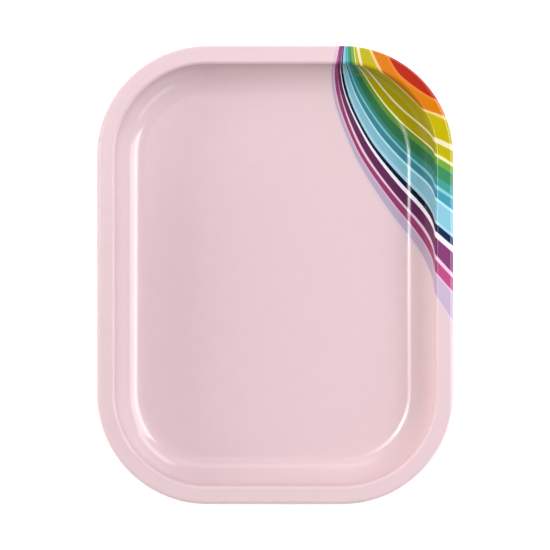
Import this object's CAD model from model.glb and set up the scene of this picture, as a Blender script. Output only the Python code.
# A small serving tray, pressed from one sheet of tinplate that was printed flat: gloss pale pink all over,
# with curved rainbow stripes across one corner. Units are metres unless a name ends in _MM. The frame is
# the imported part's own: the origin is under the middle of the floor, +Y runs along the length, +Z is up.

import math

import bpy
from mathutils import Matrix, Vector


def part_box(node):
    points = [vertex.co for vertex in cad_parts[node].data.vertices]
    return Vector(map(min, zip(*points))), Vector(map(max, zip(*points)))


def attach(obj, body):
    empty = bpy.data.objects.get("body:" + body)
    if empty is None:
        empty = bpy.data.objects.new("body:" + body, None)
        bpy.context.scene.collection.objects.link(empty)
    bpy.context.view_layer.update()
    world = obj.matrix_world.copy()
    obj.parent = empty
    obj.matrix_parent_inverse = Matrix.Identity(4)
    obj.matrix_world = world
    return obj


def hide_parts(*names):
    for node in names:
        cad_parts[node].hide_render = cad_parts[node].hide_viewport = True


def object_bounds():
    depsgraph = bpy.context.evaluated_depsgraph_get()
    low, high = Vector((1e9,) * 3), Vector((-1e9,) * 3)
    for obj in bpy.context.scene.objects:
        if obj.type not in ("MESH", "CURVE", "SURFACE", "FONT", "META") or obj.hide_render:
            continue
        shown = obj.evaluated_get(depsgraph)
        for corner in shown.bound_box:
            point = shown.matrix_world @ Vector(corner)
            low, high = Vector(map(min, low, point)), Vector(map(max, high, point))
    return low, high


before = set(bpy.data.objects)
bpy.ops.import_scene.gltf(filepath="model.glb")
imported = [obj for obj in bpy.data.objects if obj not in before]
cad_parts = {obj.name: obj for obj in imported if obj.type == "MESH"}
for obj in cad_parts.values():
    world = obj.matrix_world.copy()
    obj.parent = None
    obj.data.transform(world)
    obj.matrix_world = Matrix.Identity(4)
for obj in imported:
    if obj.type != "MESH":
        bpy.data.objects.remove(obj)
cad_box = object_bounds()

MM = 0.001

# Sizes read from the frame
CAD_LOW, CAD_HIGH = cad_box
WIDTH, LENGTH, HEIGHT = CAD_HIGH - CAD_LOW
FLOOR_LOW, FLOOR_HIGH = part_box("floor_panel")
SHEET = FLOOR_HIGH.z - FLOOR_LOW.z

# Bends of the sheet, as the part's source has them; each radius is that of the sheet's middle plane
CORNER_RADIUS = 43.5 * MM  # of the outer edge, seen from above
FLOOR_BEND_RADIUS = 11.4 * MM
WALL_ANGLE = math.radians(80)  # above the horizontal
LIP_RADIUS = 1.1 * MM
RIM_WIDTH = 6 * MM  # from the lip's crest to the outer edge
CURL_RADIUS = 1.2 * MM
CURL_TURN = math.radians(300)

# How finely the surface is divided
CORNER_STEPS = 32
WIDTH_STEPS = 6  # along the straight of a short side
LENGTH_STEPS = 10  # along the straight of a long side
FLOOR_RINGS = 12
FLOOR_BEND_STEPS = 22
WALL_STEPS = 2
LIP_STEPS = 12
RIM_STEPS = 5
CURL_STEPS = 30

# The straight stretches follow from the sizes above
WALL_STRAIGHT = (
    HEIGHT - SHEET - (FLOOR_BEND_RADIUS + LIP_RADIUS) * (1 - math.cos(WALL_ANGLE))
) / math.sin(WALL_ANGLE)
RIM_STRAIGHT = RIM_WIDTH - SHEET / 2 - CURL_RADIUS
FLOOR_INSET = (WIDTH - (FLOOR_HIGH.x - FLOOR_LOW.x)) / 2


# ---------------------------------------------------------------- geometry


class Place:
    """A place on the sheet's middle plane: out from the floor's edge, up, the heading there, and how far
    along the sheet it lies from the floor's edge."""

    def __init__(self, out, up, heading, along):
        self.out = out
        self.up = up
        self.heading = heading
        self.along = along


class SheetPath:
    """The places that a stretch of the sheet runs through, from the inside outwards."""

    def __init__(self, place):
        self.places = [place]

    @property
    def end(self):
        return self.places[-1]

    def straight(self, length, steps):
        start = self.end
        for i in range(1, steps + 1):
            reach = length * i / steps
            out = start.out + reach * math.cos(start.heading)
            up = start.up + reach * math.sin(start.heading)
            self.places.append(Place(out, up, start.heading, start.along + reach))
        return self

    def bend(self, radius, angle, steps):
        """Turns upwards for a positive angle and downwards for a negative one."""
        start = self.end
        side = math.copysign(1, angle)
        for i in range(1, steps + 1):
            turned = angle * i / steps
            heading = start.heading + turned
            out = start.out + side * radius * (math.sin(heading) - math.sin(start.heading))
            up = start.up - side * radius * (math.cos(heading) - math.cos(start.heading))
            self.places.append(Place(out, up, heading, start.along + radius * abs(turned)))
        return self


def outline(out):
    """Points of the rounded rectangle that lies a distance out from the floor's edge, each with the
    direction that faces straight outwards there."""
    radius = CORNER_RADIUS - FLOOR_INSET + out
    x = WIDTH / 2 - CORNER_RADIUS
    y = LENGTH / 2 - CORNER_RADIUS
    corners = [(x, y), (-x, y), (-x, -y), (x, -y)]
    side_steps = [WIDTH_STEPS, LENGTH_STEPS, WIDTH_STEPS, LENGTH_STEPS]
    points = []
    for i, (corner, steps) in enumerate(zip(corners, side_steps)):
        centre = Vector(corner)
        for j in range(CORNER_STEPS + 1):
            angle = (i + j / CORNER_STEPS) * math.pi / 2
            facing = Vector((math.cos(angle), math.sin(angle)))
            points.append((centre + facing * radius, facing))
        next_centre = Vector(corners[(i + 1) % 4])
        for j in range(1, steps):
            points.append((centre.lerp(next_centre, j / steps) + facing * radius, facing))
    return points


class Surface:
    """Collects the vertices and faces of a closed mesh, with its normals and where each vertex lay on the
    flat sheet before it was pressed."""

    PRINTED, BACK, CUT = range(3)

    def __init__(self):
        self.vertices = []
        self.flat_places = []
        self.faces = []
        self.normals = []
        self.finishes = []

    def add_loop(self, out, up, along):
        """A closed loop of vertices; returns their numbers."""
        first = len(self.vertices)
        for (point, _), (flat, _) in zip(outline(out), outline(along)):
            self.vertices.append((point.x, point.y, up))
            self.flat_places.append((flat.x, flat.y, along))
        return range(first, len(self.vertices))

    def add_face(self, corners, normals, finish):
        self.faces.append(corners)
        self.normals.extend(normals)
        self.finishes.append(finish)

    def add_strip(self, loop, next_loop, normals, next_normals, finish):
        """The quads between two loops. They face up where the second loop is the outer one."""
        count = len(loop)
        for k in range(count):
            n = (k + 1) % count
            self.add_face(
                (loop[k], next_loop[k], next_loop[n], loop[n]),
                (normals[k], next_normals[k], next_normals[n], normals[n]),
                finish,
            )

    def build(self, name):
        mesh = bpy.data.meshes.new(name)
        mesh.from_pydata(self.vertices, [], self.faces)
        mesh.shade_smooth()
        mesh.normals_split_custom_set(self.normals)
        attribute = mesh.attributes.new("flat_place", "FLOAT_VECTOR", "POINT")
        for i, place in enumerate(self.flat_places):
            attribute.data[i].vector = place
        mesh.polygons.foreach_set("material_index", self.finishes)
        piece = bpy.data.objects.new(name, mesh)
        bpy.context.scene.collection.objects.link(piece)
        return piece


FACINGS = [facing for _, facing in outline(0)]


def tilted(across, up):
    """The direction that goes so far outwards and so far up, at each point of a loop."""
    return [(facing.x * across, facing.y * across, up) for facing in FACINGS]


def pressed_ring(name, path):
    """A stretch of the sheet, carried round the outline as a closed solid."""
    surface = Surface()
    upper = []
    lower = []
    for place in path.places:
        across = -math.sin(place.heading) * SHEET / 2
        rise = math.cos(place.heading) * SHEET / 2
        upper.append(surface.add_loop(place.out + across, place.up + rise, place.along))
        lower.append(surface.add_loop(place.out - across, place.up - rise, place.along))
    above = [tilted(-math.sin(p.heading), math.cos(p.heading)) for p in path.places]
    below = [tilted(math.sin(p.heading), -math.cos(p.heading)) for p in path.places]
    for i in range(len(path.places) - 1):
        surface.add_strip(upper[i], upper[i + 1], above[i], above[i + 1], Surface.PRINTED)
        surface.add_strip(lower[i + 1], lower[i], below[i + 1], below[i], Surface.BACK)
    first, last = path.places[0], path.end
    inwards = tilted(-math.cos(first.heading), -math.sin(first.heading))
    outwards = tilted(math.cos(last.heading), math.sin(last.heading))
    surface.add_strip(lower[0], upper[0], inwards, inwards, Surface.CUT)
    surface.add_strip(upper[-1], lower[-1], outwards, outwards, Surface.CUT)
    return surface.build(name)


def flat_panel(name):
    """The flat floor: rings that shrink to a point in the middle, above and below, and the edge between."""
    surface = Surface()
    up = tilted(0, 1)
    down = tilted(0, -1)
    outwards = tilted(1, 0)
    edge_loops = []
    for height, normals, facing_up in ((SHEET, up, True), (0, down, False)):
        loops = []
        for i in range(FLOOR_RINGS):
            loop = surface.add_loop(0, height, 0)
            share = 1 - i / FLOOR_RINGS
            for v in loop:
                x, y, z = surface.vertices[v]
                surface.vertices[v] = (x * share, y * share, z)
                surface.flat_places[v] = (x * share, y * share, 0)
            loops.append(loop)
        for outer, inner in zip(loops, loops[1:]):
            if facing_up:
                surface.add_strip(inner, outer, normals, normals, Surface.PRINTED)
            else:
                surface.add_strip(outer, inner, normals, normals, Surface.BACK)
        middle = len(surface.vertices)
        surface.vertices.append((0, 0, height))
        surface.flat_places.append((0, 0, 0))
        inner = loops[-1]
        for k in range(len(inner)):
            pair = (inner[k], inner[(k + 1) % len(inner)])
            if facing_up:
                surface.add_face((middle, *pair), normals[:1] * 3, Surface.PRINTED)
            else:
                surface.add_face((middle, *reversed(pair)), normals[:1] * 3, Surface.BACK)
        edge_loops.append(loops[0])
    surface.add_strip(edge_loops[0], edge_loops[1], outwards, outwards, Surface.CUT)
    return surface.build(name)


def make_pieces():
    wall = SheetPath(Place(0, SHEET / 2, 0, 0))
    wall.bend(FLOOR_BEND_RADIUS, WALL_ANGLE, FLOOR_BEND_STEPS)
    wall.straight(WALL_STRAIGHT, WALL_STEPS)
    rim = SheetPath(wall.end)
    rim.bend(LIP_RADIUS, -WALL_ANGLE, LIP_STEPS)
    rim.straight(RIM_STRAIGHT, RIM_STEPS)
    curl = SheetPath(rim.end)
    curl.bend(CURL_RADIUS, -CURL_TURN, CURL_STEPS)
    pieces = {
        "floor_panel": flat_panel("printed_floor"),
        "side_wall": pressed_ring("scooped_wall", wall),
        "rim_flange": pressed_ring("lip_and_rim", rim),
        "rolled_edge": pressed_ring("curled_edge", curl),
    }
    finishes = [printed_face(), lacquered_back(), cut_metal()]
    for node, piece in pieces.items():
        for finish in finishes:
            piece.data.materials.append(finish)
        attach(piece, "root")
        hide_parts(node)


# ---------------------------------------------------------------- the print

PINK = "ebced2"

# Each stripe's colour, and how far its outer border lies from SHEET_CORNER_MM, in millimetres on the flat
# sheet, along rays at the six STRIPE_BEARINGS: from straight left (0) to straight down (1).
SHEET_CORNER_MM = (79, 98)
STRIPE_BEARINGS = (0, 0.25, 0.5, 0.75, 0.875, 1)
STRIPES = [
    ("ead4de", (54.2, 61.4, 69.2, 83.2, 95.4, 120.9)),  # pale edge
    ("d0b9d4", (54.2, 61.0, 68.4, 81.9, 94.3, 119.6)),  # lavender
    ("eec4dc", (54.0, 60.2, 67.0, 78.8, 89.8, 108.3)),  # pink line
    ("c25288", (53.3, 59.6, 66.5, 78.2, 89.1, 107.0)),  # magenta
    ("f8d0e6", (53.3, 58.2, 65.2, 75.7, 85.5, 101.6)),  # pink line
    ("8c4078", (53.3, 58.1, 64.3, 74.8, 83.9, 99.9)),  # plum
    ("faf2ff", (51.8, 56.8, 61.8, 71.0, 79.0, 91.2)),  # white
    ("183054", (51.8, 56.5, 61.0, 69.4, 77.0, 88.5)),  # navy
    ("b4dcf0", (51.4, 55.5, 60.0, 67.5, 74.5, 85.2)),  # pale blue edge
    ("90cce0", (51.4, 54.9, 59.0, 66.0, 73.3, 83.8)),  # light blue
    ("bceaf6", (50.9, 53.5, 56.4, 62.3, 67.1, 75.5)),  # pale cyan line
    ("48a0b4", (50.9, 53.2, 55.8, 61.4, 66.0, 74.3)),  # steel teal
    ("8cd2de", (50.2, 52.2, 53.9, 58.9, 63.2, 69.8)),  # light cyan line
    ("46a298", (50.1, 51.8, 53.2, 58.0, 61.7, 68.8)),  # teal
    ("409060", (49.8, 50.4, 52.0, 55.7, 58.9, 65.0)),  # green
    ("78ac40", (49.0, 48.4, 49.0, 51.9, 54.5, 60.0)),  # lime
    ("f2f0b4", (47.6, 47.0, 47.2, 49.4, 51.9, 57.0)),  # pale yellow line
    ("c4b408", (47.4, 46.5, 46.6, 48.8, 50.6, 55.8)),  # yellow
    ("f2e8be", (46.6, 44.2, 43.4, 44.2, 46.1, 50.5)),  # whitish line
    ("c6b402", (45.2, 43.4, 42.6, 43.1, 44.0, 48.0)),  # yellow
    ("f4cc88", (41.9, 36.7, 35.2, 33.9, 35.2, 38.0)),  # cream line
    ("de7c04", (40.7, 35.6, 34.0, 33.0, 33.8, 36.5)),  # orange
    ("ea8428", (35.0, 31.4, 28.5, 28.5, 29.2, 31.0)),  # light orange edge
    ("b82408", (34.0, 30.4, 27.5, 27.5, 28.2, 30.0)),  # red
]
LONGEST_RAY_MM = 125

# Along the sheet from the floor's edge: the lip is between these two
WELL_ENDS = 18 * MM
RIM_STARTS = 19.5 * MM

# The power of its own brightness that darkens a colour in the well
PINK_DEPTH = 0.08
STRIPE_DEPTH = 0.33


def linear(code):
    """A colour code of six hexadecimal digits, as the linear colour that the shader works in."""
    values = [int(code[i:i + 2], 16) / 255 for i in (0, 2, 4)]
    return [v / 12.92 if v <= 0.04045 else ((v + 0.055) / 1.055) ** 2.4 for v in values] + [1]


class Nodes:
    """Short calls for building a node tree."""

    def __init__(self, tree):
        self.tree = tree

    def add(self, kind, **settings):
        node = self.tree.nodes.new(kind)
        for name, value in settings.items():
            setattr(node, name, value)
        return node

    def feed(self, socket, source):
        if isinstance(source, bpy.types.NodeSocket):
            self.tree.links.new(source, socket)
        else:
            socket.default_value = source

    def math(self, operation, *sources, clamp=False):
        node = self.add("ShaderNodeMath", operation=operation, use_clamp=clamp)
        for socket, source in zip(node.inputs, sources):
            self.feed(socket, source)
        return node.outputs[0]

    def spread(self, value, low, high, new_low, new_high, smooth=False):
        """Maps low..high to new_low..new_high, and keeps to that range."""
        node = self.add("ShaderNodeMapRange")
        if smooth:
            node.interpolation_type = "SMOOTHSTEP"
        for socket, source in zip(node.inputs, (value, low, high, new_low, new_high)):
            self.feed(socket, source)
        return node.outputs[0]

    def from_noise(self, noise, new_low, new_high):
        """Maps the range that noise mostly keeps to."""
        return self.spread(noise, 0.3, 0.7, new_low, new_high)

    def stretched(self, vector, scale):
        node = self.add("ShaderNodeVectorMath", operation="MULTIPLY")
        self.feed(node.inputs[0], vector)
        node.inputs[1].default_value = scale
        return node.outputs[0]

    def noise(self, vector, feature, detail=2, roughness=0.5):
        """Noise whose lumps are about as wide as feature."""
        node = self.add("ShaderNodeTexNoise")
        self.feed(node.inputs["Vector"], vector)
        node.inputs["Scale"].default_value = 1 / feature
        node.inputs["Detail"].default_value = detail
        node.inputs["Roughness"].default_value = roughness
        return node.outputs["Fac"]

    def bump(self, height, distance, normal=None):
        node = self.add("ShaderNodeBump")
        node.inputs["Distance"].default_value = distance
        self.feed(node.inputs["Height"], height)
        if normal:
            self.feed(node.inputs["Normal"], normal)
        return node.outputs[0]

    def mix(self, share, first, second, blend="MIX"):
        node = self.add("ShaderNodeMix", data_type="RGBA", blend_type=blend)
        for name, source in (("Factor_Float", share), ("A_Color", first), ("B_Color", second)):
            socket = next(s for s in node.inputs if s.identifier == name)
            self.feed(socket, source)
        return next(s for s in node.outputs if s.identifier == "Result_Color")


def new_material(name):
    material = bpy.data.materials.new(name)
    material.use_nodes = True
    nodes = Nodes(material.node_tree)
    shader = material.node_tree.nodes["Principled BSDF"]
    return material, nodes, shader


def flat_place(nodes):
    """Where the point lay on the flat sheet: its x and y, and its distance beyond the floor's edge."""
    attribute = nodes.add("ShaderNodeAttribute", attribute_name="flat_place")
    parts = nodes.add("ShaderNodeSeparateXYZ")
    nodes.feed(parts.inputs[0], attribute.outputs["Vector"])
    return attribute.outputs["Vector"], parts.outputs


def stripe_colour(nodes, x, y):
    """Counts how many stripe borders the point lies inside of, and gives that stripe's colour."""
    corner_x, corner_y = SHEET_CORNER_MM
    left = nodes.math("SUBTRACT", corner_x * MM, x)
    down = nodes.math("SUBTRACT", corner_y * MM, y)
    bearing = nodes.math("DIVIDE", nodes.math("ARCTAN2", down, left), math.pi / 2)
    squares = nodes.math("ADD", nodes.math("POWER", left, 2), nodes.math("POWER", down, 2))
    ray = nodes.math("DIVIDE", nodes.math("SQRT", squares), LONGEST_RAY_MM * MM)
    inside_of = 0
    for _, distances in STRIPES:
        curve = nodes.add("ShaderNodeFloatCurve")
        nodes.feed(curve.inputs["Value"], bearing)
        points = curve.mapping.curves[0].points
        places = [(b, d / LONGEST_RAY_MM) for b, d in zip(STRIPE_BEARINGS, distances)]
        points[0].location = places[0]
        points[1].location = places[-1]
        for place in places[1:-1]:
            points.new(*place)
        curve.mapping.update()
        inside = nodes.math("LESS_THAN", ray, curve.outputs[0])
        inside_of = nodes.math("ADD", inside_of, inside)
    ramp = nodes.add("ShaderNodeValToRGB")
    ramp.color_ramp.interpolation = "CONSTANT"
    colours = [PINK] + [colour for colour, _ in STRIPES]
    share = nodes.math("DIVIDE", nodes.math("ADD", inside_of, 0.5), len(colours))
    nodes.feed(ramp.inputs[0], share)
    stops = ramp.color_ramp.elements
    stops.remove(stops[-1])
    for i, colour in enumerate(colours):
        stop = stops[0] if i == 0 else stops.new(i / len(colours))
        stop.color = linear(colour)
    return inside_of, ramp.outputs["Color"]


def printed_face():
    """Gloss enamel ink over white-coated tinplate, with a faint mottle and orange peel. In the well each
    colour is darkened by a power of its own brightness, the stripes more than the pink."""
    material, nodes, shader = new_material("gloss_printed_enamel")
    place, (x, y, along) = flat_place(nodes)
    inside_of, ink = stripe_colour(nodes, x, y)

    brightness = nodes.add("ShaderNodeRGBToBW")
    nodes.feed(brightness.inputs[0], ink)
    in_well = nodes.spread(along, WELL_ENDS, RIM_STARTS, 1, 0, smooth=True)
    depth = nodes.spread(inside_of, 0, 1, PINK_DEPTH, STRIPE_DEPTH)
    darkening = nodes.math("POWER", brightness.outputs[0], nodes.math("MULTIPLY", in_well, depth))

    mottle = nodes.noise(place, 6 * MM, detail=4)
    grain = nodes.noise(place, 0.5 * MM, detail=3)
    broad_shade = nodes.from_noise(mottle, 0.985, 1.0)
    fine_shade = nodes.from_noise(grain, -0.008, 0.008)
    shade = nodes.math("ADD", broad_shade, fine_shade)
    tint = nodes.add("ShaderNodeCombineColor")
    for socket in tint.inputs:
        nodes.feed(socket, nodes.math("MULTIPLY", shade, darkening))
    nodes.feed(shader.inputs["Base Color"], nodes.mix(1.0, ink, tint.outputs[0], "MULTIPLY"))

    nodes.feed(shader.inputs["Roughness"], nodes.from_noise(mottle, 0.10, 0.15))
    wave = nodes.bump(nodes.noise(place, 45 * MM, detail=1), 0.02 * MM)
    peel = nodes.bump(nodes.noise(place, 1.4 * MM, detail=2), 0.0012 * MM, wave)
    nodes.feed(shader.inputs["Normal"], peel)
    shader.inputs["IOR"].default_value = 1.5
    return material


def lacquered_back():
    """Bare tinplate under a thin clear lacquer, with the mill's rolling grain along the tray and fine
    scratches from the press."""
    material, nodes, shader = new_material("lacquered_tinplate")
    place, _ = flat_place(nodes)
    rolled = nodes.noise(nodes.stretched(place, (1, 0.02, 1)), 0.35 * MM, detail=4, roughness=0.65)
    bright = nodes.noise(place, 14 * MM, detail=3)
    drawn = nodes.noise(nodes.stretched(place, (1, 1, 0.05)), 0.8 * MM, detail=2)
    colour = nodes.mix(nodes.from_noise(bright, 0, 1), linear("c4c3c0"), linear("d6d5d1"))
    nodes.feed(shader.inputs["Base Color"], colour)
    shader.inputs["Metallic"].default_value = 1
    nodes.feed(shader.inputs["Roughness"], nodes.from_noise(rolled, 0.24, 0.38))
    grain = nodes.bump(rolled, 0.002 * MM)
    nodes.feed(shader.inputs["Normal"], nodes.bump(drawn, 0.002 * MM, grain))
    return material


def cut_metal():
    """The sheared edge of the sheet: bare steel with the shear's fine lines."""
    material, nodes, shader = new_material("sheared_edge")
    place, _ = flat_place(nodes)
    sheared = nodes.noise(place, 0.3 * MM, detail=3)
    colour = nodes.mix(sheared, linear("8f8d8a"), linear("c6c4c0"))
    nodes.feed(shader.inputs["Base Color"], colour)
    shader.inputs["Metallic"].default_value = 1
    nodes.feed(shader.inputs["Roughness"], nodes.from_noise(sheared, 0.35, 0.55))
    nodes.feed(shader.inputs["Normal"], nodes.bump(sheared, 0.01 * MM))
    return material


# ---------------------------------------------------------------- studio

WHITE = (1, 1, 1)
COOL = (0.93, 0.97, 1)
WARM = (1, 0.97, 0.92)

TABLE_GAP = 0.05 * MM  # keeps the table's face clear of the tray's underside


def direction(azimuth, from_vertical):
    """A unit vector; azimuth 0 is +X and 90 is +Y, both angles in degrees."""
    a = math.radians(azimuth)
    z = math.radians(from_vertical)
    return Vector((math.cos(a) * math.sin(z), math.sin(a) * math.sin(z), math.cos(z)))


def softbox(name, azimuth, from_vertical, size, radiance, distance=1.4, colour=WHITE, mirrored=True):
    """A rectangular light that faces the tray. Its size is level by upright. A light that isn't mirrored
    shows in no gloss, as behind a diffuser."""
    across, deep = size
    light = bpy.data.lights.new(name, "AREA")
    light.shape = "RECTANGLE"
    light.size = across
    light.size_y = deep
    light.energy = radiance * math.pi * across * deep
    light.color = colour
    lamp = bpy.data.objects.new(name, light)
    away = direction(azimuth, from_vertical)
    lamp.location = away * distance
    lamp.rotation_euler = away.to_track_quat("Z", "Y").to_euler()
    lamp.visible_camera = False
    lamp.visible_glossy = mirrored
    bpy.context.scene.collection.objects.link(lamp)


def make_studio():
    scene = bpy.context.scene
    scene.view_settings.view_transform = "Standard"

    world = bpy.data.worlds.new("studio")
    scene.world = world
    world.use_nodes = True
    background = world.node_tree.nodes["Background"]
    background.inputs["Color"].default_value = (1, 0.99, 0.985, 1)
    background.inputs["Strength"].default_value = 0.03

    softbox("side_softbox", 11, 42, size=(0.55, 0.62), radiance=4.5, distance=1, colour=COOL)
    softbox("side_core", 11, 35, size=(0.5, 0.2), radiance=4.5, distance=0.98, colour=COOL)
    softbox("far_right_card", 45, 66, size=(0.9, 0.5), radiance=3.4, colour=COOL)
    softbox("near_right_card", 315, 66, size=(0.9, 0.5), radiance=2.0, colour=COOL)
    softbox("top_strip", 169, 14.5, size=(1.15, 0.52), radiance=5.0, distance=2.5)
    softbox("strip_end", 162, 14.5, size=(0.3, 0.4), radiance=11, distance=2.48)
    softbox("left_card", 172, 78, size=(1.4, 0.5), radiance=7.2, colour=WARM, mirrored=False)
    softbox("near_left_card", 215, 62, size=(0.6, 0.8), radiance=0.8, colour=WARM, mirrored=False)
    softbox("back_card", 90, 38, size=(0.9, 0.5), radiance=1.4)
    softbox("overhead_card", 118, 10.5, size=(0.5, 0.3), radiance=0.9)

    bpy.ops.mesh.primitive_plane_add(size=8, location=(0, 0, -TABLE_GAP))
    floor = bpy.context.object
    floor.name = "studio_floor"
    floor.data.materials.append(pale_floor())


def pale_floor():
    material, nodes, shader = new_material("pale_floor")
    where = nodes.add("ShaderNodeTexCoord").outputs["Object"]
    shade = nodes.noise(where, 0.4, detail=2)
    nodes.feed(shader.inputs["Base Color"], nodes.mix(shade, linear("f7f7f7"), linear("fbfbfb")))
    shader.inputs["Roughness"].default_value = 0.8
    shader.inputs["Emission Color"].default_value = (1, 1, 1, 1)
    shader.inputs["Emission Strength"].default_value = 0.5
    return material


def make_camera():
    """Straight above the middle of the tray, far off, with +Y at the top of the picture."""
    sensor = 36 * MM
    lens = 200 * MM
    view_across = 215.7 * MM  # at the height of the rim
    data = bpy.data.cameras.new("camera")
    data.sensor_width = sensor / MM
    data.lens = lens / MM
    data.clip_start = 0.01
    data.clip_end = 20
    camera = bpy.data.objects.new("camera", data)
    camera.location = (0, 0, HEIGHT + view_across * lens / sensor)
    bpy.context.scene.collection.objects.link(camera)
    bpy.context.scene.camera = camera


make_camera()
make_studio()
make_pieces()
